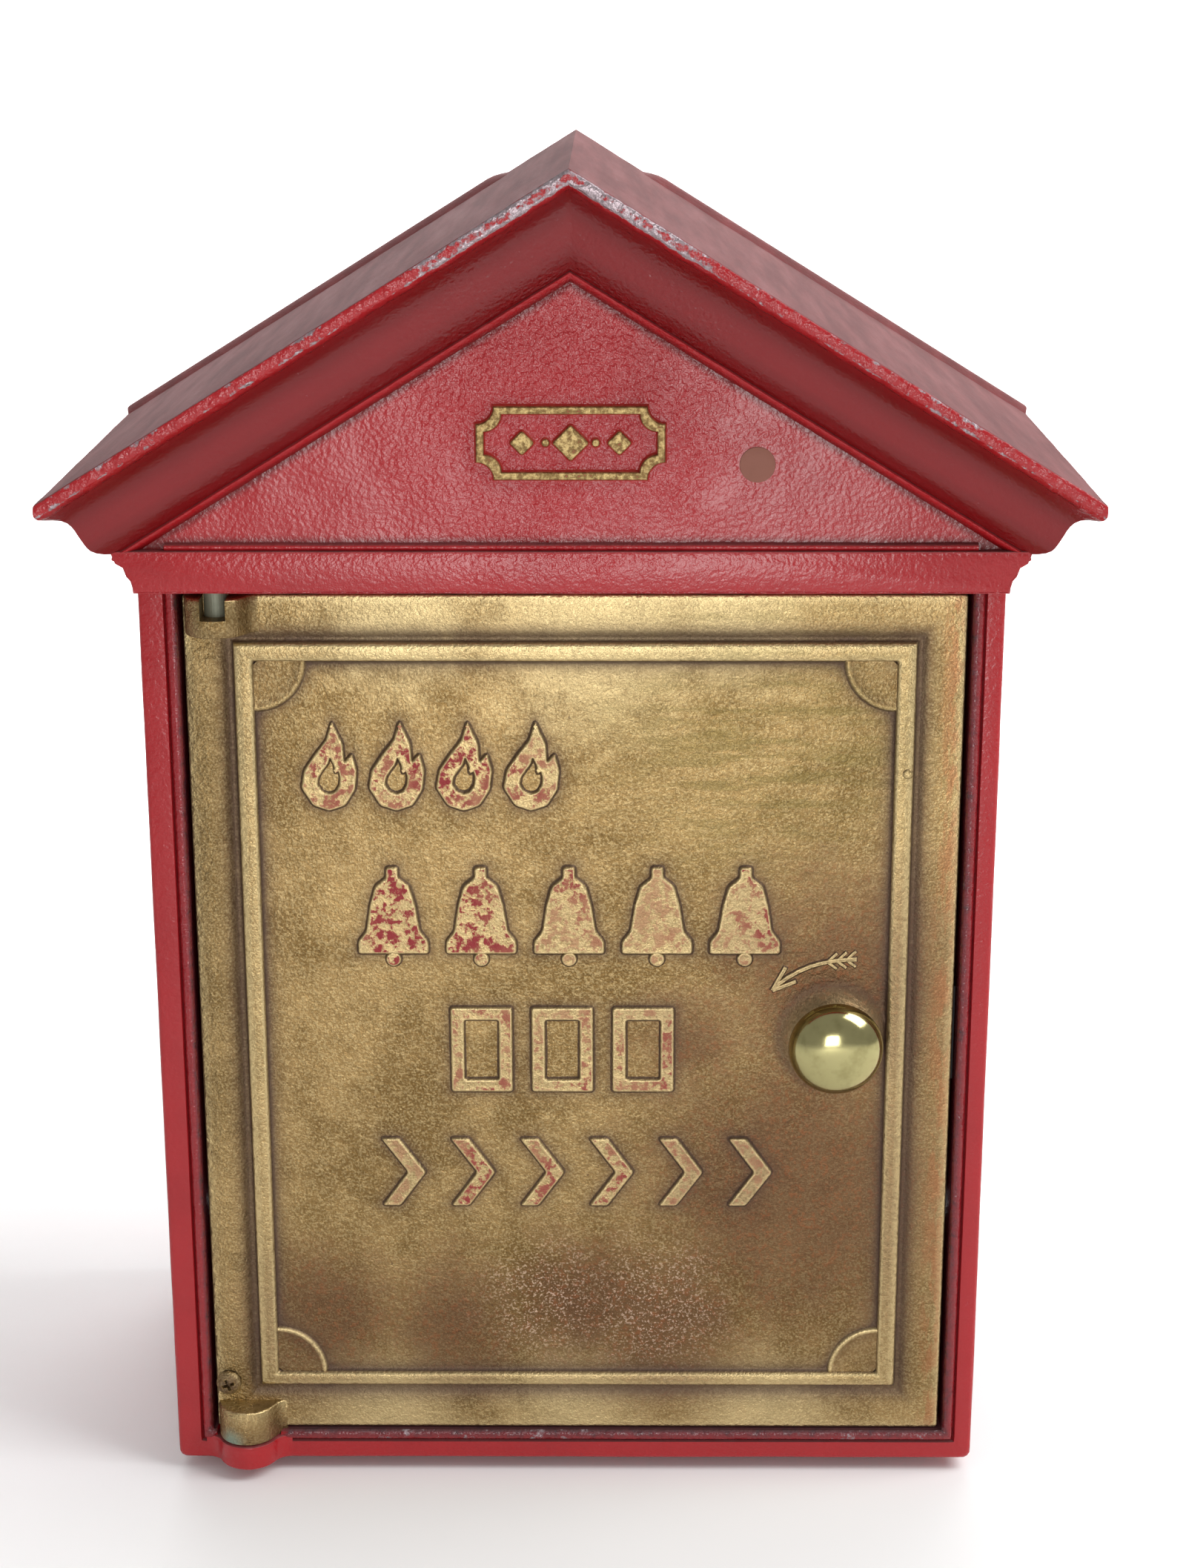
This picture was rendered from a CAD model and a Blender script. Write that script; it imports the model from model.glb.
import math

import bmesh
import bpy
import numpy as np
from bpy.props import FloatProperty, FloatVectorProperty, IntProperty, PointerProperty, StringProperty
from mathutils import Matrix, Vector, noise


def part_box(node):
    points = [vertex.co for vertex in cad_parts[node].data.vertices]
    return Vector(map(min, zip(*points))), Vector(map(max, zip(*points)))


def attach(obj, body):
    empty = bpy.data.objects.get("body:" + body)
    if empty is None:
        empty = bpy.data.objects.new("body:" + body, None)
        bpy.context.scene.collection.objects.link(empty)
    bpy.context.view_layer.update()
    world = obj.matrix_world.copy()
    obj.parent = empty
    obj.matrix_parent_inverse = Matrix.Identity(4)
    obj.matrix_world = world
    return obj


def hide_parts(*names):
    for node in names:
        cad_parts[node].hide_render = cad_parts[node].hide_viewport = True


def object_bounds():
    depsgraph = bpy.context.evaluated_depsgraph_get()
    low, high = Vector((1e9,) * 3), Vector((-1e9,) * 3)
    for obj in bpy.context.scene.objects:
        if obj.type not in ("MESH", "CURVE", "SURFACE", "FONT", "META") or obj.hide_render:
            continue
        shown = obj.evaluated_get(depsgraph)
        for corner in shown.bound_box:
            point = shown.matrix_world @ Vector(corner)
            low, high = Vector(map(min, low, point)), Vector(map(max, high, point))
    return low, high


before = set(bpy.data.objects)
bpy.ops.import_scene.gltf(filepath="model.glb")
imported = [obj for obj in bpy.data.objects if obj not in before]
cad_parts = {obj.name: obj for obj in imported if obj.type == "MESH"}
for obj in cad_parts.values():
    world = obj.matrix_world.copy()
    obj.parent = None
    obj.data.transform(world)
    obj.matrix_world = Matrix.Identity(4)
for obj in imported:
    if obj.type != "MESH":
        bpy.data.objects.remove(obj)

bl_info = {
    "name": "Street fire alarm box",
    "version": (1, 0, 0),
    "blender": (4, 5, 0),
    "location": "3D View > Sidebar > Alarm Box",
    "description": "Builds the cast shell, brass door, trim, finishes and studio of a street fire alarm box",
    "category": "Add Mesh",
}

CAD_LOW, CAD_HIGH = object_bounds()
SHELL_LOW, SHELL_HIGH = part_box("housing")
DOOR_LOW, DOOR_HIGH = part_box("door")
KNOB_LOW, KNOB_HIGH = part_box("knob")
EMBLEM_LOW, EMBLEM_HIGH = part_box("emblem")
PLUG_LOW, PLUG_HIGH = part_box("pediment_plug")
RIVET_LOW, RIVET_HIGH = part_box("frame_rivet")
SCREW_LOW, SCREW_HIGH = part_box("hinge_set_screw")
PIN_LOW, PIN_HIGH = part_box("hinge_pin_lower")
BOTTOM = SHELL_LOW.z
HALF = 0.150
FRONT = -0.170
WALL = 0.006
SHELL_TOP = 0.350
ROOM_TOP = 0.353
# The doorway's left, right, lower and upper edges.
DOORWAY = (-HALF + 0.0137, HALF - 0.0113, 0.0120, 0.3370)
DOORWAY_DEPTH = 0.012
BOLT_X = 0.118
BOLT_HEIGHTS = (0.028, 0.312)
BOLT_RADIUS = 0.0045
CONDUIT_RADIUS = 0.014
SPINDLE_RADIUS = 0.0042
BEVEL = 0.0003
RED = "red_enamel_on_sand_cast_iron"
BRASS = "aged_cast_brass"
PAINTED_BRASS = "aged_cast_brass_signs"
BRIGHT_BRASS = "hand_polished_turned_brass"
GILT = "worn_gold_paint_on_iron"
SHARP = math.radians(50.0)
HINGE_X, HINGE_Y = ((PIN_LOW + PIN_HIGH) / 2)[:2]
KNOB_X, _, KNOB_Z = (KNOB_LOW + KNOB_HIGH) / 2
LUG_RADIUS = 0.011
BOSS_TOP = 0.0099

# The cornice's section from the roof's edge down to the pediment: how far it stands out, height at the eave,
# wear and grime.
CORNICE = (
    (0.0274, 0.3722, 0.35, 0.0),
    (0.0280, 0.3718, 0.75, 0.0),
    (0.0283, 0.3712, 0.95, 0.0),
    (0.0284, 0.3695, 0.80, 0.0),
    (0.0283, 0.3681, 0.85, 0.0),
    (0.0279, 0.3672, 1.00, 0.0),
    (0.0270, 0.3665, 0.55, 0.3),
    (0.0258, 0.3661, 0.00, 0.9),
    (0.0228, 0.3658, 0.00, 1.0),
    (0.0206, 0.3652, 0.00, 1.0),
    (0.0189, 0.3640, 0.00, 0.95),
    (0.0178, 0.3626, 0.02, 0.85),
    (0.0169, 0.3610, 0.05, 0.75),
    (0.0162, 0.3594, 0.10, 0.7),
    (0.0154, 0.3577, 0.10, 0.7),
    (0.0146, 0.3560, 0.05, 0.7),
    (0.0138, 0.3545, 0.00, 0.8),
    (0.0128, 0.3532, 0.00, 0.85),
    (0.0112, 0.3521, 0.00, 0.95),
    (0.0088, 0.3512, 0.00, 0.9),
    (0.0066, 0.3508, 0.00, 1.0),
    (0.0062, 0.3505, 0.10, 0.6),
    (0.0067, 0.3499, 0.30, 0.1),
    (0.0070, 0.3491, 0.35, 0.0),
    (0.0066, 0.3484, 0.20, 0.1),
    (0.0052, 0.3480, 0.00, 0.7),
    (0.0040, 0.3478, 0.00, 1.0),
)
# The front frame's section from its outer corner to the doorway: distance from the doorway's edge, depth
# behind the front plane, wear and grime. The last rows are the bead beside the door.
FRAME_SECTION = (
    (0.0050, 0.0000, 0.05, 0.1, 0.0),
    (0.0048, 0.0004, 0.00, 0.6, 0.1),
    (0.0045, 0.0009, 0.00, 1.0, 0.3),
    (0.0042, 0.0006, 0.00, 0.7, 0.4),
    (0.0037, 0.0001, 0.30, 0.1, 0.5),
    (0.0029, -0.0003, 0.55, 0.0, 0.7),
    (0.0019, -0.0004, 0.65, 0.0, 0.9),
    (0.0009, -0.0001, 0.60, 0.0, 1.0),
    (0.0002, 0.0006, 0.20, 0.5, 1.0),
    (0.0000, 0.0014, 0.00, 1.0, 1.0),
)
# The frieze's stepped ends: how far they stand out and the height over its lower edge.
FRIEZE_STEPS = (
    (0.0002, 0.0002),
    (0.0004, 0.0020),
    (0.0010, 0.0043),
    (0.0024, 0.0060),
    (0.0034, 0.0090),
    (0.0060, 0.0106),
    (0.0069, 0.0129),
    (0.0074, 0.0145),
)
# The door's section from its edge to the panel: distance in, height over the door's face, wear and grime.
DOOR_SECTION = (
    (0.0000, -0.0009, 0.00, 1.0),
    (0.0002, -0.0003, 0.70, 0.2),
    (0.0006, 0.0000, 1.00, 0.0),
    (0.0013, 0.0001, 0.45, 0.0),
    (0.0035, 0.0001, 0.10, 0.0),
    (0.0070, 0.0001, 0.05, 0.0),
    (0.0100, 0.0001, 0.05, 0.15),
    (0.0125, 0.0000, 0.00, 0.45),
    (0.0140, -0.0002, 0.00, 0.75),
    (0.0150, -0.0009, 0.00, 0.9),
    (0.0162, -0.0010, 0.00, 0.9),
    (0.0169, -0.0006, 0.00, 1.0),
    (0.0172, 0.0004, 0.45, 0.5),
    (0.0176, 0.0011, 1.00, 0.0),
    (0.0184, 0.0014, 0.65, 0.0),
    (0.0204, 0.0014, 0.25, 0.0),
    (0.0224, 0.0014, 0.35, 0.0),
    (0.0231, 0.0012, 0.95, 0.0),
    (0.0236, 0.0006, 0.60, 0.3),
    (0.0239, -0.0003, 0.00, 1.0),
    (0.0243, -0.0008, 0.00, 1.0),
    (0.0252, -0.0010, 0.00, 0.7),
)
# A raised sign's section from its foot to its top: distance out, share of the raise, wear, grime and paint.
SIGN_SECTION = (
    (0.0014, -0.18, 0.0, 0.35, 0.0),
    (0.0008, 0.02, 0.0, 0.85, 0.0),
    (0.0004, 0.22, 0.0, 1.0, 0.0),
    (0.0001, 0.60, 0.2, 0.5, 0.1),
    (-0.0001, 0.85, 0.8, 0.0, 0.2),
    (-0.0004, 0.97, 1.0, 0.0, 0.3),
    (-0.0008, 0.98, 0.7, 0.0, 0.8),
    (-0.0012, 0.95, 0.5, 0.0, 1.0),
)
FLAME = (
    (0.00, -0.50), (0.28, -0.44), (0.46, -0.26), (0.50, -0.04), (0.42, 0.14), (0.28, 0.04), (0.26, 0.26),
    (0.08, 0.50), (-0.02, 0.30), (-0.22, 0.14), (-0.42, -0.04), (-0.48, -0.24), (-0.28, -0.44),
)
BELL = (
    (0.00, -0.50), (0.50, -0.50), (0.50, -0.36), (0.38, -0.24), (0.32, 0.06), (0.24, 0.28), (0.08, 0.38),
    (0.08, 0.50), (-0.08, 0.50), (-0.08, 0.38), (-0.24, 0.28), (-0.32, 0.06), (-0.38, -0.24), (-0.50, -0.36),
    (-0.50, -0.50),
)
SQUARE = ((-0.50, -0.50), (0.50, -0.50), (0.50, 0.50), (-0.50, 0.50))
CHEVRON = ((-0.50, -0.50), (-0.10, -0.50), (0.50, 0.00), (-0.10, 0.50), (-0.50, 0.50), (0.10, 0.00))
# Patches on the door, each given by its place across and up and its radius: polished, brown and speckled.
POLISHED = (
    (0.010, DOOR_HIGH.z - 0.010, 0.060),
    (-0.070, DOOR_LOW.z + 0.007, 0.040),
    (0.000, DOOR_LOW.z + 0.007, 0.040),
    (0.070, DOOR_LOW.z + 0.007, 0.040),
    (-0.060, DOOR_LOW.z + 0.315, 0.040),
    (0.055, DOOR_LOW.z + 0.315, 0.040),
)
SPECKLED = (
    (-0.010, -0.104, 0.036),
    (0.030, -0.108, 0.040),
)
PATINA = (
    (-0.045, -0.114, 0.044),
    (0.005, -0.106, 0.046),
    (0.032, -0.114, 0.052),
    (0.084, -0.060, 0.088),
    (0.098, 0.020, 0.070),
    (0.044, 0.001, 0.034),
    (-0.092, -0.112, 0.044),
)
LOZENGE = ((0.0, -0.50), (0.50, 0.0), (0.0, 0.50), (-0.50, 0.0))
# Each row of signs: outline, width, how many, and then as shares of the panel the first and last centre and
# the lower and upper edge.
SIGN_ROWS = (
    (FLAME, 0.0200, 4, 0.112, 0.430, 0.802, 0.920),
    (BELL, 0.0250, 5, 0.208, 0.770, 0.607, 0.725),
    (SQUARE, 0.0220, 3, 0.347, 0.608, 0.413, 0.531),
    (CHEVRON, 0.0160, 6, 0.217, 0.784, 0.248, 0.345),
)


# ---- sizes and colours that a user would change ----
def length(name, description, value):
    """A length property in metres that shows hundredths of a millimetre."""
    return FloatProperty(name=name, description=description, default=value, unit="LENGTH", precision=5)


def colour(name, description, value):
    """A colour property that shows and stores the sRGB value of a hex code."""
    return StringProperty(name=name, description=description, default=value, maxlen=7)


class AlarmHousing(bpy.types.PropertyGroup):
    """Sizes of the cast shell's visible details."""

    roof_pitch: FloatProperty(
        name="Roof pitch", description="Rise of the roof over its run", default=0.6157, min=0.2, max=1.0)
    corner: length("Corner radius", "Rounding of the shell's upright corners", 0.0016)
    fascia_chips: length("Fascia chips", "How far chips move the fascia's lower edge", 0.00035)
    casting_waves: length("Casting waves", "Height of the slow waves in the cast faces", 0.00014)
    rake_steps: IntProperty(
        name="Steps along a rake", description="Faces along each rake", default=150, min=20, max=400)


class AlarmDoor(bpy.types.PropertyGroup):
    """Sizes of the door's visible details."""

    stile_swell: length("Stile swell", "How far the hinge stile bulges", 0.0012)
    sign_raise: length("Sign raise", "How far the signs stand out of the panel", 0.0013)
    sign_stroke: length("Sign stroke", "Width of the open signs' bands", 0.0046)
    arrow_raise: length("Arrow raise", "How far the turn arrow stands out", 0.0008)
    boss_raise: length("Knob boss raise", "Height of the mound behind the knob", 0.0050)
    panel_columns: IntProperty(
        name="Panel columns", description="Faces across the panel", default=170, min=20, max=400)
    panel_rows: IntProperty(
        name="Panel rows", description="Faces up the panel", default=208, min=20, max=400)


class AlarmFinish(bpy.types.PropertyGroup):
    """Colours of the finishes, as sRGB hex codes."""

    red: colour("Red enamel", "Colour of the paint where it is clean", "#A41A20")
    red_deep: colour("Deep red", "Colour of the paint in hollows", "#650709")
    red_dusty: colour("Dusty red", "Colour of the dusty paint on top", "#682F2F")
    bare_iron: colour("Bare iron", "Colour of the cast iron where the paint is gone", "#A99A9E")
    grime: colour("Grime", "Colour of the dirt in corners", "#2E1A1C")
    brass: colour("Cast brass", "Colour of the door where it is clean", "#967B50")
    brass_dull: colour("Dull brass", "Colour of the door's olive haze", "#6F5733")
    brass_brown: colour("Brown patina", "Colour of the door's brown patina", "#5C4032")
    brass_bright: colour("Rubbed brass", "Colour of the rubbed edges", "#E2CC98")
    brass_dark: colour("Dark patina", "Colour of the patina in recesses", "#4E3A30")
    brass_olive: colour("Olive haze", "Colour of the door's greenish haze", "#6A5E36")
    brass_rust: colour("Rust brown", "Colour of the freckles and stains", "#92593A")
    brass_pink: colour("Pink specks", "Colour of the specks where copper shows", "#EDCDB8")
    paint_left: colour("Paint left", "Colour of the paint left on the signs", "#8A1F22")
    black_red: colour("Blackened red", "Colour of the blackened bead round the door", "#3A2429")
    verdigris: colour("Verdigris", "Colour of the copper corrosion", "#6F8C80")
    knob_brass: colour("Polished brass", "Colour of the knob", "#B0A877")
    gilding: colour("Gilding", "Colour of the emblem's worn gold paint", "#B39B68")
    plug: colour("Plug", "Colour of the brown disc in the pediment", "#86503F")
    steel: colour("Steel", "Colour of the plated steel parts", "#9B9C9E")
    iron_black: colour("Black iron", "Colour of the signal box's enamel", "#1C1B1D")
    fibre: colour("Fibre", "Colour of the insulating blocks", "#4A2318")
    tarnish: colour("Tarnish", "Colour of the tarnish on the inner parts", "#3A2E26")
    knob_shade: colour("Knob tarnish", "Colour of the knob's faint tarnish", "#6E6434")
    pin_steel: colour("Pin steel", "Colour of the hinge pins", "#8C8E7C")
    keeper_steel: colour("Keeper steel", "Colour of the latch keeper", "#1B1A1C")


class AlarmStage(bpy.types.PropertyGroup):
    """The floor, the lights and the camera."""

    lens: FloatProperty(name="Lens", description="Focal length", default=64.14, unit="CAMERA")
    camera: FloatVectorProperty(
        name="Camera", description="Place of the camera", default=(0.0138, -1.1117, 0.3796),
        subtype="TRANSLATION", unit="LENGTH")
    pitch: FloatProperty(
        name="Pitch", description="How far the camera looks down", default=math.radians(16.70),
        subtype="ANGLE")
    yaw: FloatProperty(
        name="Yaw", description="How far the camera looks to the right", default=math.radians(-0.39),
        subtype="ANGLE")
    roll: FloatProperty(
        name="Roll", description="How far the camera is turned", default=math.radians(-0.08),
        subtype="ANGLE")
    floor_colour: FloatVectorProperty(
        name="Floor", description="Colour of the floor", default=(0.93, 0.93, 0.93), subtype="COLOR")
    sky: FloatProperty(name="Room light", description="Strength of the light all round", default=0.42)


# ---- mesh tools ----
def layers(bm):
    """The mesh's masks: rubbed edges, dirt in recesses, and paint left on the raised tops."""
    return [bm.verts.layers.float.get(n) or bm.verts.layers.float.new(n) for n in ("wear", "grime", "paint")]


def ring(bm, points, wear=0.0, grime=0.0, paint=0.0):
    """New vertices at the points, carrying the three masks."""
    masks = layers(bm)
    made = []
    for point in points:
        vert = bm.verts.new(point)
        for layer, value in zip(masks, (wear, grime, paint)):
            vert[layer] = value
        made.append(vert)
    return made


def bridge(bm, first, second, closed=True):
    """Faces between two rows of vertices of the same length."""
    count = len(first)
    for i in range(count if closed else count - 1):
        j = (i + 1) % count
        bm.faces.new((first[i], first[j], second[j], second[i]))


def bridge_all(bm, rows, closed=True):
    """Faces between each row and the next."""
    for first, second in zip(rows, rows[1:]):
        bridge(bm, first, second, closed)


def closed_shell(bm, rows):
    """Faces between each row and the next, and over both ends."""
    bridge_all(bm, rows)
    bm.faces.new(rows[0][::-1])
    bm.faces.new(rows[-1])


def middle_of(low, high):
    """The middle of a box across and up, on the back plane."""
    return (low.x + high.x) / 2, 0.0, (low.z + high.z) / 2


def spaced(low, high, count, crowd):
    """Even steps from low to high that close up towards both ends as crowd goes from 0 to 1."""
    s = np.linspace(0.0, 1.0, count + 1)
    return low + (high - low) * (s - crowd * np.sin(2 * math.pi * s) / (2 * math.pi))


def rectangle(x, z, y, counts, radius=0.0, crowd=0.6):
    """Points round an upright rectangle from its lower left corner, with rounded corners."""
    across = spaced(x[0], x[1], counts[0], crowd)
    up = spaced(z[0], z[1], counts[1], crowd)
    flat = [(u, z[0]) for u in across[:-1]] + [(x[1], v) for v in up[:-1]]
    flat += [(u, z[1]) for u in across[:0:-1]] + [(x[0], v) for v in up[:0:-1]]
    points = []
    middle_x, middle_z = (x[0] + x[1]) / 2, (z[0] + z[1]) / 2
    for u, v in flat:
        near_x = x[0] + radius if u < x[0] + radius else x[1] - radius
        near_z = z[0] + radius if v < z[0] + radius else z[1] - radius
        if (u - near_x) * (near_x - middle_x) > 0 and (v - near_z) * (near_z - middle_z) > 0:
            away = math.hypot(u - near_x, v - near_z)
            u, v = near_x + (u - near_x) / away * radius, near_z + (v - near_z) / away * radius
        points.append((u, y, v + BOTTOM))
    return points


def arc(cx, cy, radius, start, end, count):
    """Points on an arc, both ends included."""
    turns = [start + (end - start) * i / count for i in range(count + 1)]
    return [(cx + radius * math.cos(t), cy + radius * math.sin(t)) for t in turns]


def anticlockwise(points):
    """The outline as an array that runs anticlockwise."""
    outline = np.array(points, float)
    ahead = np.roll(outline, -1, 0)
    area = (outline[:, 0] * ahead[:, 1] - ahead[:, 0] * outline[:, 1]).sum()
    return outline if area > 0 else outline[::-1]


def grown(outline, distance):
    """An anticlockwise outline moved outward by the distance, with mitred corners."""
    before = outline - np.roll(outline, 1, 0)
    after = np.roll(outline, -1, 0) - outline
    sides = []
    for edge in (before, after):
        side = np.stack([edge[:, 1], -edge[:, 0]], 1)
        sides.append(side / np.linalg.norm(side, axis=1, keepdims=True))
    turn = 1.0 + (sides[0] * sides[1]).sum(1, keepdims=True)
    return outline + (sides[0] + sides[1]) / np.maximum(turn, 0.35) * distance


def softened(points, radius, steps=4):
    """The outline with each corner rounded."""
    outline = anticlockwise(points)
    made = []
    for i, corner in enumerate(outline):
        ends = []
        for other in (outline[i - 1], outline[(i + 1) % len(outline)]):
            away = other - corner
            length = np.linalg.norm(away)
            ends.append(corner + away / length * min(radius, 0.42 * length))
        for step in range(steps + 1):
            t = step / steps
            made.append((1 - t) ** 2 * ends[0] + 2 * t * (1 - t) * corner + t * t * ends[1])
    return np.array(made)


def raised(bm, outlines, face, height, spread=1.0):
    """A raised cast shape with a soft foot and a rounded edge. Outlines after the first are holes."""
    tops = []
    for number, outline in enumerate(outlines):
        side = 1.0 if number == 0 else -1.0
        rows = []
        for out, share, wear, grime, paint in SIGN_SECTION:
            points = grown(outline, side * out * spread)
            places = [(u, face - share * height, v + BOTTOM) for u, v in points]
            rows.append(ring(bm, places, wear, grime, paint))
        bridge_all(bm, rows)
        tops.append(rows[-1])
    edges = [bm.edges.get((row[i - 1], row[i])) for row in tops for i in range(len(row))]
    bmesh.ops.triangle_fill(bm, use_beauty=True, edges=edges)


def strip(points, width):
    """The outline of a band along a line of points."""
    line = np.array(points, float)
    along = np.gradient(line, axis=0)
    along /= np.linalg.norm(along, axis=1, keepdims=True)
    side = np.stack([-along[:, 1], along[:, 0]], 1) * width / 2
    return anticlockwise(np.concatenate([line + side, (line - side)[::-1]]))


def turned(bm, centre, section, count, axis="Y"):
    """A turned shape from rows of radius, level, wear and grime, closed at both ends."""
    rows = []
    for radius, level, wear, grime in section:
        points = []
        for i in range(count):
            turn = 2 * math.pi * i / count
            u, v = radius * math.cos(turn), radius * math.sin(turn)
            points.append((centre[0] + u, level, centre[2] + v) if axis == "Y" else
                          (centre[0] + u, centre[1] + v, level))
        rows.append(ring(bm, points, wear, grime))
    closed_shell(bm, rows)


def waves(bm, height, size):
    """Move the vertices along their normals in slow waves, as a sand casting does."""
    bm.normal_update()
    for vert in bm.verts:
        vert.co += vert.normal * height * noise.noise(vert.co / size)


def piece(name, bm, body, finish, facing=None):
    """Turn the mesh into a smooth-shaded piece with a finish, which rides on a body."""
    bmesh.ops.recalc_face_normals(bm, faces=bm.faces)
    if facing is not None:
        if sum(f.normal.dot(Vector(facing)) * f.calc_area() for f in bm.faces) < 0:
            bmesh.ops.reverse_faces(bm, faces=bm.faces)
    mesh = bpy.data.meshes.new(name)
    bm.to_mesh(mesh)
    bm.free()
    obj = bpy.data.objects.new(name, mesh)
    bpy.context.scene.collection.objects.link(obj)
    mesh.shade_smooth()
    mesh.set_sharp_from_angle(angle=SHARP)
    mesh.materials.append(materials()[finish])
    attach(obj, body)
    return obj


def cut(obj, bm):
    """Cut a closed shape out of the piece."""
    bmesh.ops.recalc_face_normals(bm, faces=bm.faces)
    mesh = bpy.data.meshes.new("cutter")
    bm.to_mesh(mesh)
    bm.free()
    tool = bpy.data.objects.new("cutter", mesh)
    bpy.context.scene.collection.objects.link(tool)
    modifier = obj.modifiers.new("cut", "BOOLEAN")
    modifier.operation = "DIFFERENCE"
    modifier.solver = "EXACT"
    modifier.object = tool
    graph = bpy.context.evaluated_depsgraph_get()
    result = bpy.data.meshes.new_from_object(obj.evaluated_get(graph))
    obj.modifiers.clear()
    obj.data = result
    bpy.data.objects.remove(tool)


def disc(bm, centre, radius, low, high, axis="Y", count=32):
    """A plain closed disc for cutting."""
    turned(bm, centre, ((radius, low, 0.0, 0.0), (radius, high, 0.0, 0.0)), count, axis)


# ---- material tools ----
def linear(code):
    """An sRGB hex code as a linear colour."""
    values = [int(code[i:i + 2], 16) / 255 for i in (1, 3, 5)]
    return [v / 12.92 if v <= 0.04045 else ((v + 0.055) / 1.055) ** 2.4 for v in values] + [1.0]


def add(tree, kind, links=(), stops=(), **settings):
    """Add one node. links maps a socket to a value or another node's output; stops are a ramp's colours."""
    made = tree.nodes.new(kind)
    for key, value in settings.items():
        setattr(made, key, value)
    if stops:
        ramp = made.color_ramp
        while len(ramp.elements) < len(stops):
            ramp.elements.new(0.5)
        for element, (place, shade) in zip(ramp.elements, stops):
            element.position = place
            element.color = shade if hasattr(shade, "__len__") else (shade, shade, shade, 1.0)
    wire(tree, made, dict(links))
    return made


def wire(tree, made, links):
    """Link each named socket of a node to another node's output, or set it to a value."""
    for key, value in links.items():
        if isinstance(value, bpy.types.NodeSocket):
            tree.links.new(value, made.inputs[key])
        else:
            made.inputs[key].default_value = value


def per(millimetres):
    """A texture scale that gives features of this size."""
    return 1000.0 / millimetres


def blank(name):
    """A new material with its tree, its shader and object coordinates."""
    material = bpy.data.materials.new(name)
    material.use_nodes = True
    tree = material.node_tree
    tree.nodes.clear()
    shader = add(tree, "ShaderNodeBsdfPrincipled")
    add(tree, "ShaderNodeOutputMaterial", {"Surface": shader.outputs[0]})
    place = add(tree, "ShaderNodeTexCoord").outputs["Object"]
    return material, tree, shader, place


def noise_of(tree, place, size, detail=3.0, rough=0.5, kind="ShaderNodeTexNoise"):
    """The value of noise whose features have this size in millimetres."""
    settings = {"Vector": place, "Scale": per(size), "Detail": detail, "Roughness": rough}
    return add(tree, kind, settings).outputs[0]


def ranged(tree, value, low, high, start=0.0, end=1.0):
    """A value rescaled smoothly from one range to another."""
    links = {"Value": value, "From Min": low, "From Max": high, "To Min": start, "To Max": end}
    return add(tree, "ShaderNodeMapRange", links, interpolation_type="SMOOTHSTEP").outputs[0]


def math_of(tree, operation, first, second=0.0, third=0.0):
    """One sum of values, kept within 0 and 1."""
    links = {0: first, 1: second, 2: third}
    return add(tree, "ShaderNodeMath", links, operation=operation, use_clamp=True).outputs[0]


def blended(tree, factor, first, second):
    """Two colours mixed by a factor."""
    return add(tree, "ShaderNodeMix", {0: factor, 6: first, 7: second}, data_type="RGBA").outputs[2]


def mask(tree, name):
    """One of the masks that the meshes carry."""
    return add(tree, "ShaderNodeAttribute", attribute_name=name).outputs["Fac"]


def spot(tree, place, centre, radius, ragged):
    """A soft round patch about a point, its edge broken up by noise."""
    away = add(tree, "ShaderNodeVectorMath", {0: place, 1: centre}, operation="DISTANCE").outputs["Value"]
    rough = math_of(tree, "MULTIPLY_ADD", ragged, radius * 0.9, away)
    return ranged(tree, rough, radius * 1.45, radius * 0.65)


def patches(tree, place, spots, ragged):
    """Soft round patches joined, from pairs of centre and radius."""
    joined = 0.0
    for centre, radius in spots:
        joined = math_of(tree, "MAXIMUM", joined, spot(tree, place, centre, radius, ragged))
    return joined


def coated(tree, under, cover, share, code):
    """A colour with another one laid over it where cover says so, and thinned to a share."""
    return blended(tree, math_of(tree, "MULTIPLY", cover, share), under, linear(code))


def bumped(tree, *coats):
    """Bumps on top of each other, from pairs of height and depth in metres."""
    normal = None
    for height, depth in coats:
        links = {"Height": height, "Distance": depth, "Strength": 1.0}
        if normal:
            links["Normal"] = normal
        normal = add(tree, "ShaderNodeBump", links).outputs[0]
    return normal


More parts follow.
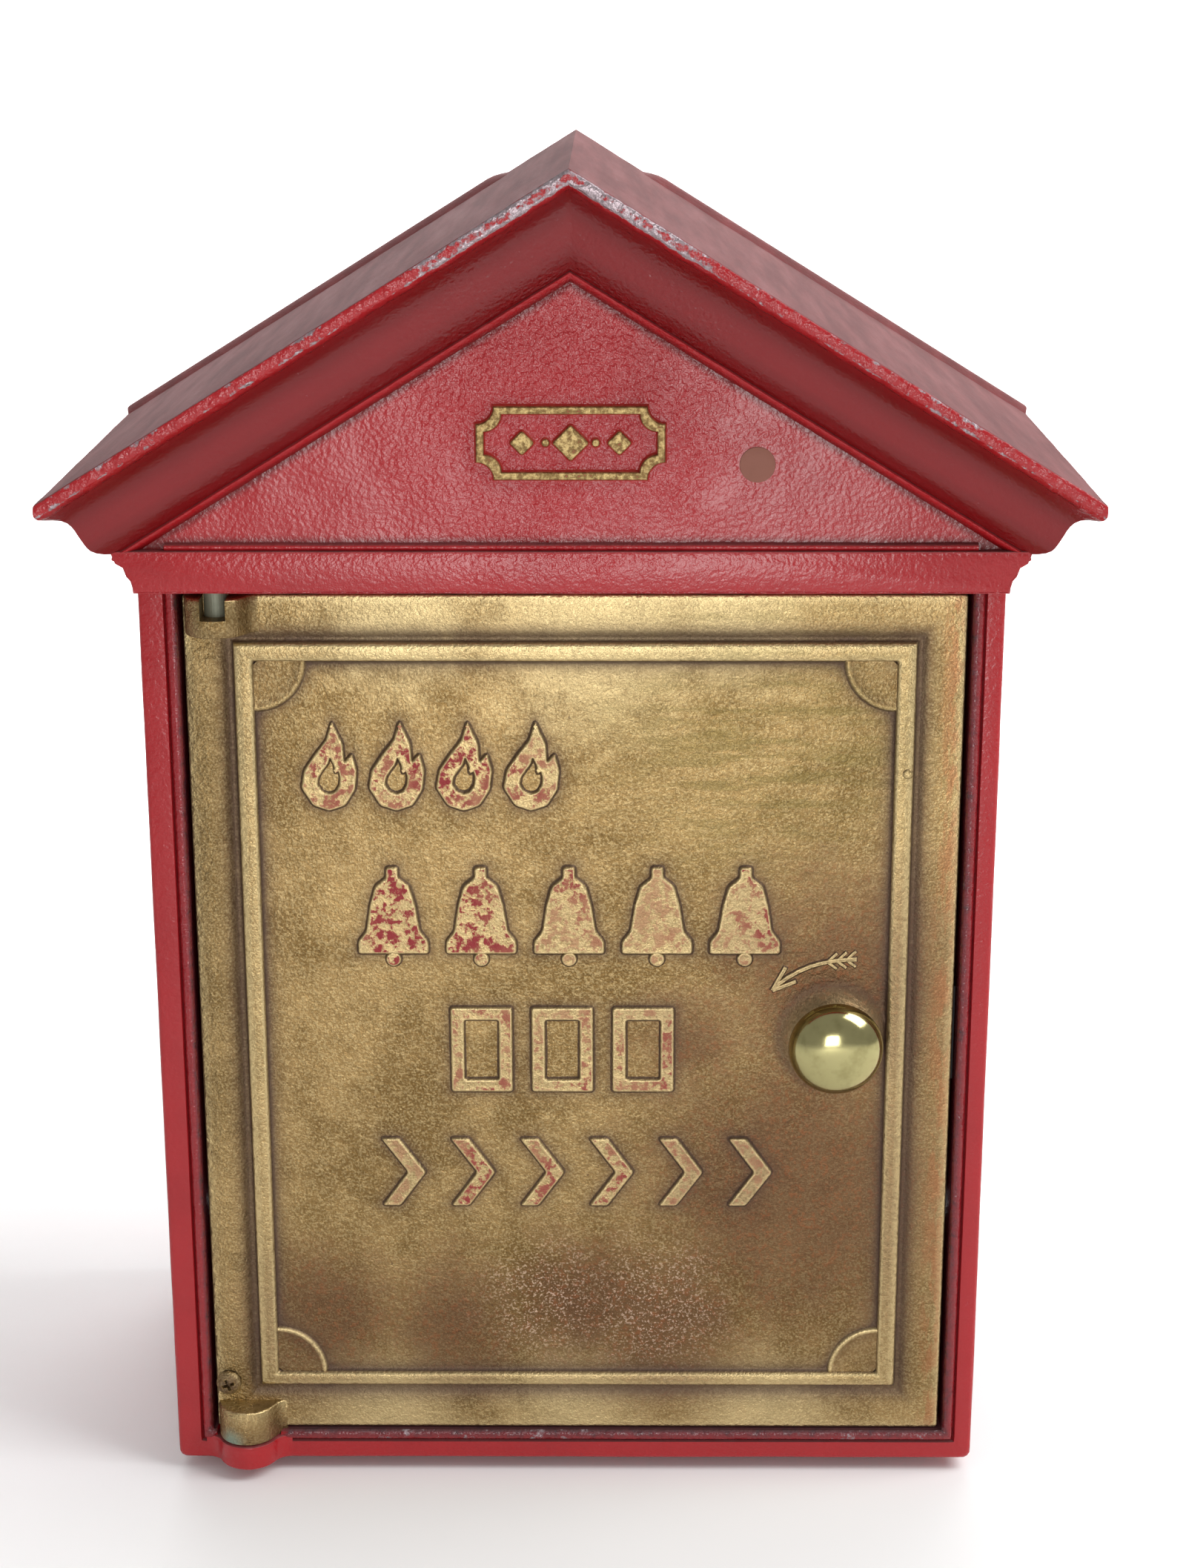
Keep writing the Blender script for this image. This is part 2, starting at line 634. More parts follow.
def red_enamel(finish):
    """Gloss enamel brushed on sand-cast iron: orange-peel glints, dust on top and bare metal on edges."""
    material, tree, shader, place = blank(RED)
    cloud = noise_of(tree, place, 38.0, 4.0, 0.6)
    peel = noise_of(tree, place, 1.6, 2.0, 0.5)
    # The orange peel is strongest in the upper part of the pediment and faint elsewhere.
    field = spot(tree, place, (0.0, FRONT, SHELL_HIGH.z - 0.075), 0.085, noise_of(tree, place, 16.0))
    peel = math_of(tree, "MULTIPLY", peel, math_of(tree, "MULTIPLY_ADD", field, 0.70, 0.30))
    # Sand grain is about 0.3 mm; it is drawn at 0.9 mm so that it shows.
    grit = noise_of(tree, place, 0.9, 2.0, 0.6)
    chip = noise_of(tree, place, 4.5, 5.0, 0.72)
    fresh = blended(tree, ranged(tree, cloud, 0.35, 0.7), linear(finish.red), linear(finish.red_deep))
    fresh = blended(tree, math_of(tree, "MULTIPLY", cloud, 0.25), linear(finish.red), fresh)
    shaded = coated(tree, fresh, mask(tree, "grime"), 0.95, finish.red_deep)
    shaded = coated(tree, shaded, ranged(tree, chip, 0.30, 0.24), 0.55, finish.grime)
    normal = add(tree, "ShaderNodeNewGeometry").outputs["Normal"]
    up = add(tree, "ShaderNodeSeparateXYZ", {0: normal}).outputs[2]
    streaks = add(tree, "ShaderNodeMapping", {"Vector": place, "Scale": (1.0, 0.12, 1.0)}).outputs[0]
    streak = noise_of(tree, streaks, 9.0, 4.0, 0.6)
    dust = math_of(tree, "MULTIPLY", ranged(tree, up, 0.35, 0.8), ranged(tree, streak, 0.15, 0.75, 0.70, 1.0))
    dusty = blended(tree, dust, shaded, linear(finish.red_dusty))
    # The edges are worn to the iron in patches, most of all at the apex.
    ragged = noise_of(tree, place, 20.0, 5.0, 0.7)
    apex = spot(tree, place, (0.0, SHELL_LOW.y, SHELL_HIGH.z), 0.085, ragged)
    sooty = math_of(tree, "MULTIPLY", mask(tree, "paint"), ranged(tree, chip, 0.25, 0.55, 1.0, 0.65))
    dusty = blended(tree, sooty, dusty, linear(finish.black_red))
    worn = math_of(tree, "MULTIPLY_ADD", mask(tree, "wear"), 0.40, math_of(tree, "MULTIPLY", chip, 0.40))
    worn = math_of(tree, "MULTIPLY_ADD", ragged, 0.40, worn)
    worn = math_of(tree, "MULTIPLY_ADD", apex, math_of(tree, "MULTIPLY", mask(tree, "wear"), 0.10), worn)
    bare = ranged(tree, worn, 0.785, 0.835)
    nick = ranged(tree, noise_of(tree, place, 13.0, 6.0, 0.7), 0.735, 0.75)
    bare = math_of(tree, "MAXIMUM", bare, nick)
    iron = blended(tree, ranged(tree, grit, 0.35, 0.65), linear(finish.bare_iron), linear(finish.grime))
    iron = blended(tree, 0.72, iron, linear(finish.bare_iron))
    rough = math_of(tree, "MULTIPLY_ADD", chip, 0.12, 0.19)
    rough = math_of(tree, "MULTIPLY_ADD", dust, 0.50, rough)
    thin = math_of(tree, "SUBTRACT", 1.0, bare)
    lumps = math_of(tree, "MULTIPLY", mask(tree, "wear"), noise_of(tree, place, 4.0, 3.0, 0.6))
    wire(tree, shader, {
        "Base Color": blended(tree, bare, dusty, iron),
        "Metallic": math_of(tree, "MULTIPLY", bare, 0.85),
        "Roughness": math_of(tree, "MULTIPLY_ADD", bare, 0.12, rough),
        "Normal": bumped(tree, (thin, 0.00012), (lumps, 0.0014), (peel, 0.00070), (grit, 0.00006)),
        "Specular IOR Level": 0.45,
    })
    return material


def aged_brass(finish, painted):
    """Sand-cast brass, filed and handled for decades: rubbed edges, dark recesses and brown patina."""
    material, tree, shader, place = blank(PAINTED_BRASS if painted else BRASS)
    parts = add(tree, "ShaderNodeSeparateXYZ", {0: place}).outputs
    cloud = noise_of(tree, place, 48.0, 4.0, 0.6)
    blot = noise_of(tree, place, 13.0, 5.0, 0.7)
    grain = noise_of(tree, place, 1.7, 3.0, 0.65)
    # Casting grain is about 0.25 mm; it is drawn at 0.8 mm so that it shows.
    fine = noise_of(tree, place, 0.8, 2.0, 0.6)
    haze = math_of(tree, "MULTIPLY_ADD", cloud, 0.6, math_of(tree, "MULTIPLY", blot, 0.4))
    skin = blended(tree, ranged(tree, haze, 0.38, 0.62), linear(finish.brass), linear(finish.brass_dull))
    skin = blended(tree, ranged(tree, fine, 0.42, 0.66, 0.0, 0.26), skin, linear(finish.brass_bright))
    # The upper middle has been polished most; a greenish haze in level streaks lies right of it.
    pale = patches(tree, place, [((x, DOOR_LOW.y, z), radius) for x, z, radius in POLISHED], blot)
    skin = coated(tree, skin, pale, 0.45, finish.brass_bright)
    level = add(tree, "ShaderNodeMapping", {"Vector": place, "Scale": (0.12, 1.0, 1.0)}).outputs[0]
    streak = ranged(tree, noise_of(tree, level, 5.0, 5.0, 0.7), 0.44, 0.60)
    olive = spot(tree, place, (0.070, DOOR_LOW.y, DOOR_HIGH.z - 0.050), 0.085, blot)
    olive = math_of(tree, "MULTIPLY", olive, math_of(tree, "MULTIPLY_ADD", streak, 0.45, 0.15))
    skin = blended(tree, olive, skin, linear(finish.brass_olive))
    # Brown patina lies over the lower middle and the right of the panel, freckled where it has been rubbed.
    old = patches(tree, place, [((x, DOOR_LOW.y, z), radius) for x, z, radius in PATINA], blot)
    skin = coated(tree, skin, old, 0.72, finish.brass_brown)
    freckle = math_of(tree, "MULTIPLY", ranged(tree, grain, 0.50, 0.66), old)
    skin = coated(tree, skin, freckle, 0.42, finish.brass_rust)
    sparkle = patches(tree, place, [((x, DOOR_LOW.y, z), radius) for x, z, radius in SPECKLED], blot)
    sparkle = math_of(tree, "MULTIPLY", sparkle, ranged(tree, fine, 0.56, 0.64))
    skin = coated(tree, skin, sparkle, 0.45, finish.brass_pink)
    pits = ranged(tree, noise_of(tree, place, 1.4, 3.0, 0.6), 0.33, 0.27)
    skin = coated(tree, skin, pits, 0.55, finish.brass_dark)
    # The door's free edge has a brown stain that runs down it.
    down = add(tree, "ShaderNodeMapping", {"Vector": place, "Scale": (1.0, 1.0, 0.25)}).outputs[0]
    stain = ranged(tree, parts[0], DOOR_HIGH.x - 0.011, DOOR_HIGH.x - 0.002)
    stain = math_of(tree, "MULTIPLY", stain, ranged(tree, noise_of(tree, down, 6.0, 5.0, 0.7), 0.42, 0.54))
    skin = coated(tree, skin, stain, 0.7, finish.brass_rust)
    grime = math_of(tree, "MULTIPLY", mask(tree, "grime"), ranged(tree, blot, 0.15, 0.5, 0.75, 1.0))
    skin = coated(tree, skin, grime, 0.88, finish.brass_dark)
    corner = (DOOR_HIGH.x - 0.001, DOOR_LOW.y, DOOR_LOW.z + 0.004)
    lug = (HINGE_X - 0.007, HINGE_Y - LUG_RADIUS, PIN_LOW.z + 0.008)
    green = patches(tree, place, ((corner, 0.008), (lug, 0.009)), blot)
    skin = coated(tree, skin, green, 0.85, finish.verdigris)
    wear = math_of(tree, "MULTIPLY", mask(tree, "wear"), ranged(tree, grain, 0.25, 0.6, 0.40, 1.0))
    skin = coated(tree, skin, wear, 0.80, finish.brass_bright)
    dull = math_of(tree, "MULTIPLY_ADD", grime, 0.4, math_of(tree, "MULTIPLY", green, 0.7))
    if painted:
        left = ranged(tree, noise_of(tree, place, 3.4, 5.0, 0.75), 0.47, 0.56)
        red = math_of(tree, "MULTIPLY", left, ranged(tree, mask(tree, "paint"), 0.2, 0.7))
        red = math_of(tree, "MULTIPLY", red, ranged(tree, cloud, 0.62, 0.40, 0.35, 1.0))
        skin = blended(tree, red, skin, linear(finish.paint_left))
        dull = math_of(tree, "MULTIPLY_ADD", red, 0.8, dull)
    rough = math_of(tree, "MULTIPLY_ADD", grain, 0.24, 0.26)
    rough = math_of(tree, "MULTIPLY_ADD", old, 0.08, rough)
    # The hinge stile was left as cast, so its skin is coarser.
    stile = ranged(tree, parts[0], EDGE[0] + 0.0150, EDGE[0] + 0.0120)
    coarse = math_of(tree, "MULTIPLY", noise_of(tree, place, 3.0, 4.0, 0.65), stile)
    wire(tree, shader, {
        "Base Color": skin,
        "Metallic": math_of(tree, "SUBTRACT", 1.0, dull),
        "Roughness": math_of(tree, "MULTIPLY_ADD", dull, 0.2, rough),
        "Normal": bumped(tree, (coarse, 0.0010), (grain, 0.00034), (fine, 0.00014)),
    })
    return material


def plain_metal(name, code, metallic, rough, size, depth, tarnish):
    """A metal or enamel with fine turning or casting marks and a faint tarnish."""
    material, tree, shader, place = blank(name)
    cloud = noise_of(tree, place, 14.0, 4.0, 0.6)
    mark = noise_of(tree, place, size, 3.0, 0.6)
    brown = linear(bpy.context.scene.alarm_finish.tarnish)
    skin = blended(tree, ranged(tree, cloud, 0.42, 0.75, 0.0, tarnish), linear(code), brown)
    wire(tree, shader, {
        "Base Color": skin,
        "Metallic": metallic,
        "Roughness": math_of(tree, "MULTIPLY_ADD", cloud, 0.18, rough - 0.09),
        "Normal": bumped(tree, (mark, depth)),
    })
    return material


def polished_brass(finish):
    """Brass turned and kept bright by hands: a clear reflection with a little haze and fine scratches."""
    material, tree, shader, place = blank(BRIGHT_BRASS)
    cloud = noise_of(tree, place, 6.0, 4.0, 0.6)
    # Scratches are about 0.05 mm wide; they are drawn at 0.9 mm so that they show.
    scratch = noise_of(tree, place, 0.9, 3.0, 0.7)
    shade = ranged(tree, cloud, 0.45, 0.75, 0.0, 0.35)
    skin = blended(tree, shade, linear(finish.knob_brass), linear(finish.knob_shade))
    wire(tree, shader, {
        "Base Color": blended(tree, mask(tree, "grime"), skin, linear(finish.brass_dark)),
        "Metallic": 1.0,
        "Roughness": math_of(tree, "MULTIPLY_ADD", cloud, 0.10, 0.10),
        "Normal": bumped(tree, (scratch, 0.00001)),
    })
    return material


def worn_gilding(finish):
    """Gold paint brushed over the red enamel and rubbed thin. It gives dull gold with red in the hollows."""
    material, tree, shader, place = blank(GILT)
    grain = noise_of(tree, place, 1.8, 4.0, 0.7)
    gone = math_of(tree, "ADD", mask(tree, "grime"), ranged(tree, grain, 0.62, 0.72))
    gold = blended(tree, ranged(tree, grain, 0.35, 0.6), linear(finish.gilding), linear(finish.brass_dull))
    wire(tree, shader, {
        "Base Color": blended(tree, gone, gold, linear(finish.red)),
        "Metallic": math_of(tree, "SUBTRACT", 0.8, gone),
        "Roughness": math_of(tree, "MULTIPLY_ADD", grain, 0.2, 0.3),
        "Normal": bumped(tree, (grain, 0.00035)),
    })
    return material


def materials():
    """The finishes, made once and then reused."""
    made = {m.name: m for m in bpy.data.materials}
    finish = bpy.context.scene.alarm_finish
    if RED not in made:
        red_enamel(finish)
        aged_brass(finish, False)
        aged_brass(finish, True)
        polished_brass(finish)
        worn_gilding(finish)
        # Turned brass of the clockwork: fine lathe marks and a clean yellow.
        plain_metal("lathe_turned_brass", finish.knob_brass, 1.0, 0.32, 1.2, 0.00003, 0.35)
        # Zinc-plated steel: cool grey, slightly cloudy.
        plain_metal("zinc_plated_steel", finish.steel, 1.0, 0.38, 1.0, 0.00003, 0.4)
        # Oil-darkened steel with green-grey dirt: matt, so that the pins stay quiet in their lugs.
        plain_metal("darkened_steel", finish.pin_steel, 0.5, 0.60, 1.3, 0.00010, 0.5)
        # Black oxide on steel: nearly black, so that the keeper is lost in the shadow beside the door.
        plain_metal("black_oxide_steel", finish.keeper_steel, 0.5, 0.55, 1.0, 0.00004, 0.4)
        # Stoved black enamel on cast iron: soft gloss over an even grain.
        plain_metal("stoved_black_enamel", finish.iron_black, 0.0, 0.34, 1.6, 0.00012, 0.2)
        # Vulcanised fibre: dull red-brown with faint mottling.
        plain_metal("vulcanised_fibre", finish.fibre, 0.0, 0.55, 1.2, 0.00005, 0.5)
        # Brown filler plug: matt and slightly grainy.
        plain_metal("brown_filler", finish.plug, 0.0, 0.62, 1.0, 0.00005, 0.12)
        made = {m.name: m for m in bpy.data.materials}
    return made


# ---- pieces of the housing ----
def frame_loop(distance, depth, counts, radius=0.0006):
    """Points round the doorway at a distance outside its edge."""
    x = (DOORWAY[0] - distance, DOORWAY[1] + distance)
    z = (DOORWAY[2] - distance, DOORWAY[3] + distance)
    return rectangle(x, z, FRONT + depth, counts, radius)


class ALARMBOX_OT_body(bpy.types.Operator):
    """Build the cast body: outer walls, front frame with its bead, and the room behind the door"""

    bl_idname = "alarmbox.body"
    bl_label = "Cast body"

    def execute(self, context):
        sizes = context.scene.alarm_housing
        bm = bmesh.new()
        counts = (56, 64)
        corner = sizes.corner
        rows = []
        for step in range(9):
            y = (FRONT + corner) * step / 8
            wear = 0.25 if step == 0 else 0.0
            rows.append(ring(bm, rectangle((-HALF, HALF), (0.0, SHELL_TOP), y, counts, 0.0030), wear))
        for turn in (30.0, 60.0, 90.0):
            inset = corner * (1 - math.cos(math.radians(turn)))
            y = FRONT + corner - corner * math.sin(math.radians(turn))
            points = rectangle((-HALF + inset, HALF - inset), (inset, SHELL_TOP), y, counts, 0.0030)
            rows.append(ring(bm, points, 0.30))
        for distance, depth, wear, grime, soot in FRAME_SECTION:
            rows.append(ring(bm, frame_loop(distance, depth, counts), wear, grime, soot))
        back = FRONT + DOORWAY_DEPTH
        rows.append(ring(bm, frame_loop(0.0, DOORWAY_DEPTH, counts), 0.0, 1.0))
        inner = ((-HALF + WALL, HALF - WALL), (WALL, ROOM_TOP))
        for y in (back, back / 2, -WALL):
            rows.append(ring(bm, rectangle(*inner, y, counts, 0.002), 0.0, 0.5))
        closed_shell(bm, rows)
        # The sill's bead is rubbed bare; the bead on the hinge side keeps more of its red.
        wear_layer, _, soot_layer = layers(bm)
        for row in rows[12:22]:
            for vert in row:
                if vert.co.z < BOTTOM + 0.0125 and vert[wear_layer] > 0.1:
                    vert[wear_layer] = 0.86
                elif vert.co.x < 0.0 and vert[soot_layer] < 0.95:
                    vert[soot_layer] *= 0.5
        waves(bm, sizes.casting_waves, 0.022)
        made = piece("housing_body", bm, "housing", RED)
        holes = bmesh.new()
        hinge = (HINGE_X, HINGE_Y, 0.0)
        disc(holes, hinge, LUG_RADIUS + 0.0012, BOTTOM + BOSS_TOP, BOTTOM + 0.014, "Z", 48)
        disc(holes, (0.0, FRONT / 2, 0.0), CONDUIT_RADIUS, BOTTOM - 0.001, BOTTOM + 0.008, "Z")
        for x in (-BOLT_X, BOLT_X):
            for z in BOLT_HEIGHTS:
                disc(holes, (x, 0.0, z + BOTTOM), BOLT_RADIUS, -0.008, 0.002, "Y", 24)
        cut(made, holes)
        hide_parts("housing")
        return {"FINISHED"}


class ALARMBOX_OT_cornice(bpy.types.Operator):
    """Build the roof with its moulding, run along both eaves and up both rakes"""

    bl_idname = "alarmbox.cornice"
    bl_label = "Roof and cornice"

    def execute(self, context):
        sizes = context.scene.alarm_housing
        pitch = sizes.roof_pitch
        bm = bmesh.new()
        depth_steps, rake_steps = 36, sizes.rake_steps
        rows = []
        for number, (proud, height, wear, grime) in enumerate(CORNICE):
            half = HALF + proud
            ragged = sizes.fascia_chips if 3 <= number <= 7 else sizes.fascia_chips * 0.25
            points = []
            for step in range(-depth_steps - rake_steps, depth_steps + rake_steps + 1):
                side = -1.0 if step < 0 else 1.0
                if abs(step) > rake_steps:
                    y = (FRONT - proud) * (1 - (abs(step) - rake_steps) / depth_steps)
                    x, z = side * half, height
                else:
                    share = 1 - abs(step) / rake_steps
                    y, x = FRONT - proud, side * half * (1 - share)
                    z = height + half * share * pitch
                chips = noise.noise(Vector((x, y, z)) / 0.006)
                chips += 0.6 * noise.noise(Vector((z, x, y)) / 0.0021)
                points.append((x, y, z + ragged * chips + BOTTOM))
            rows.append(ring(bm, points, wear, grime))
        bridge_all(bm, rows, closed=False)
        self.add_slopes(bm, rows, depth_steps, rake_steps)
        waves(bm, sizes.casting_waves, 0.018)
        made = piece("roof_and_cornice", bm, "housing", RED)
        if not made.data.polygons:
            raise RuntimeError("the roof has no faces")
        return {"FINISHED"}

    def add_slopes(self, bm, rows, depth_steps, rake_steps):
        """The two roof slopes, as grids between the eaves and the ridge, and the flat rear face."""
        edge = rows[0]
        middle = len(edge) // 2
        ridge = None
        rear = []
        for side in (-1, 1):
            columns = []
            for i in range(rake_steps + 1):
                front = edge[middle + side * (rake_steps - i)]
                if i == 0:
                    columns.append([edge[middle + side * (rake_steps + j)] for j in range(depth_steps + 1)])
                elif i == rake_steps and ridge:
                    columns.append(ridge)
                else:
                    places = []
                    for j in range(1, depth_steps + 1):
                        places.append((front.co.x, front.co.y * (1 - j / depth_steps), front.co.z))
                    columns.append([front] + ring(bm, places, 0.06))
            ridge = columns[-1]
            bridge_all(bm, columns, closed=False)
            rear.append([column[-1] for column in columns])
        down = [row[-1] for row in rows[1:]]
        up = [row[0] for row in rows[:0:-1]]
        bm.faces.new(rear[0][:-1] + rear[1][::-1] + down + up)


class ALARMBOX_OT_rear_ribs(bpy.types.Operator):
    """Build the low ribs along the rear edge of each slope"""

    bl_idname = "alarmbox.rear_ribs"
    bl_label = "Rear ribs"

    def execute(self, context):
        pitch = context.scene.alarm_housing.roof_pitch
        length = math.hypot(1.0, pitch)
        normal = (pitch / length, 1.0 / length)
        section = ((-0.0125, -0.0010), (-0.0110, 0.0002), (-0.0095, 0.0009), (-0.0080, 0.0015),
                   (-0.0064, 0.0020), (-0.0048, 0.0022), (0.0, 0.0022))
        start, end, ridge, steps = 0.0262, HALF + 0.0275, 0.4816, 60
        bm = bmesh.new()
        for side in (-1.0, 1.0):
            rows = []
            for step in range(steps + 1):
                x = start + (end - start) * step / steps
                z = ridge - x * pitch
                taper = math.sin(min(1.0, step / 3.0) * math.pi / 2)
                points = []
                for y, rise in section:
                    rise = rise if rise < 0 else rise * taper - 0.0002
                    points.append((side * (x + normal[0] * rise), y, z + normal[1] * rise + BOTTOM))
                rows.append(ring(bm, points, 0.2))
            bridge_all(bm, rows, closed=False)
            bm.faces.new(rows[0])
            bm.faces.new(rows[-1])
        piece("rear_ribs", bm, "housing", RED, (0, 0, 1))
        return {"FINISHED"}


class ALARMBOX_OT_pediment(bpy.types.Operator):
    """Build the pediment's field, the bead along its foot and the frieze over the door"""

    bl_idname = "alarmbox.pediment"
    bl_label = "Pediment and frieze"

    def execute(self, context):
        sizes = context.scene.alarm_housing
        bm = bmesh.new()
        self.add_field(bm, sizes.roof_pitch)
        self.add_bead(bm)
        waves(bm, sizes.casting_waves * 1.4, 0.012)
        piece("pediment_field", bm, "housing", RED, (0, -1, 0))
        frieze = bmesh.new()
        self.add_frieze(frieze)
        waves(frieze, sizes.casting_waves, 0.012)
        piece("frieze", frieze, "housing", RED)
        return {"FINISHED"}

    def add_field(self, bm, pitch):
        """The flat triangle, as rows that shorten towards the apex."""
        low, apex, across = 0.3510, 0.3478 + 0.1545 * pitch, 130
        rows = []
        for step in range(67):
            z = low + (apex - low) * step / 66 * 0.995
            half = (apex - z) / pitch
            places = [(-half + 2 * half * i / across, FRONT - 0.004, z + BOTTOM) for i in range(across + 1)]
            rows.append(ring(bm, places))
        bridge_all(bm, rows, closed=False)
        # Dirt gathers where the field meets the mouldings.
        grime = layers(bm)[1]
        for vert in bm.verts:
            edge = (apex - (vert.co.z - BOTTOM)) / pitch - abs(vert.co.x)
            foot = vert.co.z - BOTTOM - 0.3547
            dirt = max(0.0, 1.0 - (edge - 0.0015) / 0.0045, 0.8 - foot / 0.003)
            vert[grime] = min(1.0, dirt) if foot > -0.004 else 1.0

    def add_bead(self, bm):
        """The half-round bead along the field's foot."""
        section = []
        for turn in range(0, 181, 30):
            t = math.radians(turn)
            wear = 0.45 if 30 < turn < 100 else 0.1
            grime = 0.9 if turn in (0, 180) else 0.1
            section.append((0.0034 + 0.0027 * math.sin(t), 0.3529 + 0.0017 * math.cos(t), wear, grime))
        rows = []
        for proud, z, wear, grime in section:
            places = [(-HALF + 0.011 + 0.278 * i / 140, FRONT - proud, z + BOTTOM) for i in range(141)]
            rows.append(ring(bm, places, wear, grime))
        bridge_all(bm, rows, closed=False)

    def add_frieze(self, bm):
        """The band over the door, with its stepped ends and softened edges."""
        low, middle, half_height, half_width = DOORWAY[3], 0.3445, 0.0075, 0.157
        right = [(HALF + proud, low + rise) for proud, rise in FRIEZE_STEPS]
        outline = [(-HALF + 2 * HALF * i / 70, low) for i in range(71)] + right
        outline += [(HALF + 0.0066 - (2 * HALF + 0.0132) * i / 70, low + 0.0149) for i in range(71)]
        outline += [(-x, z) for x, z in reversed(right)]
        outline = anticlockwise(outline)
        rows = []
        section = ((0.0008, 0.0070, 0.1), (0.0004, 0.0069, 0.5), (0.0001, 0.0066, 0.7), (0.0, 0.0062, 0.2))
        for inset, proud, wear in section:
            wide, tall = 1 - inset / half_width, 1 - inset / half_height
            flat = ((u * wide, middle + (v - middle) * tall) for u, v in outline)
            rows.append(ring(bm, [(u, FRONT - proud, v + BOTTOM) for u, v in flat], wear))
        for y in (FRONT + 0.02, FRONT / 2, -0.006):
            rows.append(ring(bm, [(u, y, v + BOTTOM) for u, v in outline], 0.05))
        closed_shell(bm, rows)


class ALARMBOX_OT_hinge_boss(bpy.types.Operator):
    """Build the round-nosed boss under the lower hinge"""

    bl_idname = "alarmbox.hinge_boss"
    bl_label = "Hinge boss"

    def execute(self, context):
        radius, fillet = LUG_RADIUS + 0.0006, 0.0065
        reach = radius + fillet
        rise = HINGE_Y - FRONT + fillet
        run = math.sqrt(reach ** 2 - rise ** 2)
        lean = math.atan2(rise, run)
        y = FRONT - fillet
        right = arc(HINGE_X + run, y, fillet, math.pi / 2, math.pi - lean, 10)
        nose = arc(HINGE_X, HINGE_Y, radius, -lean, -math.pi + lean, 30)
        left = arc(HINGE_X - run, y, fillet, lean, math.pi / 2, 10)
        back = [(HINGE_X - run, FRONT + 0.006), (HINGE_X + run, FRONT + 0.006)]
        outline = anticlockwise(right + nose[1:-1] + left + back)
        section = ((-0.0016, 0.0, 0.2), (-0.0007, 0.0003, 0.35), (-0.0002, 0.0009, 0.3), (0.0, 0.0018, 0.0),
                   (0.0, 0.0085, 0.05), (-0.0002, BOSS_TOP - 0.0004, 0.5), (-0.0007, BOSS_TOP, 0.4))
        bm = bmesh.new()
        rows = []
        for out, z, wear in section:
            flat = grown(outline, out)
            rows.append(ring(bm, [(u, v, z + BOTTOM) for u, v in flat], wear, 0.0))
        closed_shell(bm, rows)
        waves(bm, 0.00018, 0.006)
        piece("hinge_boss", bm, "housing", RED)
        return {"FINISHED"}


class ALARMBOX_OT_emblem(bpy.types.Operator):
    """Build the plain gilded cartouche and the brown plug beside it"""

    bl_idname = "alarmbox.emblem"
    bl_label = "Emblem and plug"

    def execute(self, context):
        bm = bmesh.new()
        back = EMBLEM_HIGH.y + 0.0003
        width = EMBLEM_HIGH.x - EMBLEM_LOW.x
        height = EMBLEM_HIGH.z - EMBLEM_LOW.z
        middle = (EMBLEM_LOW.z + EMBLEM_HIGH.z) / 2 - BOTTOM
        raise_by = back - EMBLEM_LOW.y
        outer = self.outline(width - 0.002, height - 0.002, middle)
        inner = self.outline(width - 0.0072, height - 0.0072, middle)
        raised(bm, [outer, inner], back, raise_by, 0.7)
        for x, size in ((-0.0165, 0.0085), (0.0, 0.0125), (0.0165, 0.0085)):
            points = [(x + u * size, middle + v * size) for u, v in LOZENGE]
            raised(bm, [softened(points, 0.001)], back, raise_by * 0.75, 0.7)
        for x in (-0.0085, 0.0085):
            stud = anticlockwise(arc(x, middle, 0.0013, 0.0, 2 * math.pi, 16)[:-1])
            raised(bm, [stud], back, raise_by * 0.6, 0.6)
        made = piece("emblem_cartouche", bm, "housing", GILT, (0, -1, 0))
        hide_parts("emblem")
        plug = bmesh.new()
        radius = (PLUG_HIGH.x - PLUG_LOW.x) / 2
        face = PLUG_LOW.y
        section = ((radius * 0.5, face - 0.00012, 0, 0), (radius * 0.9, face - 0.0001, 0, 0),
                   (radius * 0.97, face, 0, 0), (radius, face + 0.0004, 0, 1), (radius, PLUG_HIGH.y, 0, 1))
        turned(plug, middle_of(PLUG_LOW, PLUG_HIGH), section, 64)
        disc_piece = piece("pediment_disc", plug, "housing", "brown_filler")
        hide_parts("pediment_plug")
        return {"FINISHED"}

    def outline(self, width, height, middle):
        """A rectangle with a hollow quarter round at each corner."""
        half_w, half_h, scallop = width / 2, height / 2, 0.006
        made = []
        corners = ((1, 1, 1.0, 1.5), (-1, 1, 1.5, 2.0), (-1, -1, 0.0, 0.5), (1, -1, 0.5, 1.0))
        for sx, sz, start, end in corners:
            made += arc(sx * half_w, middle + sz * half_h, scallop, start * math.pi, end * math.pi, 10)[::-1]
        return anticlockwise(made)


# ---- pieces of the door ----
EDGE = (DOOR_LOW.x, DOOR_HIGH.x, 0.0126, 0.3350)
FACE = -0.1685
PANEL_FACE = FACE + 0.0010
PANEL = (EDGE[0] + 0.0238, EDGE[1] - 0.0238, 0.0358, EDGE[3] - 0.0238)


def sign_cells():
    """Every sign on the panel: outline, centre, width and height."""
    width, height = PANEL[1] - PANEL[0], PANEL[3] - PANEL[2]
    cells = []
    for outline, size, count, first, last, low, high in SIGN_ROWS:
        for i in range(count):
            x = PANEL[0] + width * (first + (last - first) * i / (count - 1))
            cells.append((outline, x, PANEL[2] + height * (low + high) / 2, size, height * (high - low)))
    return cells


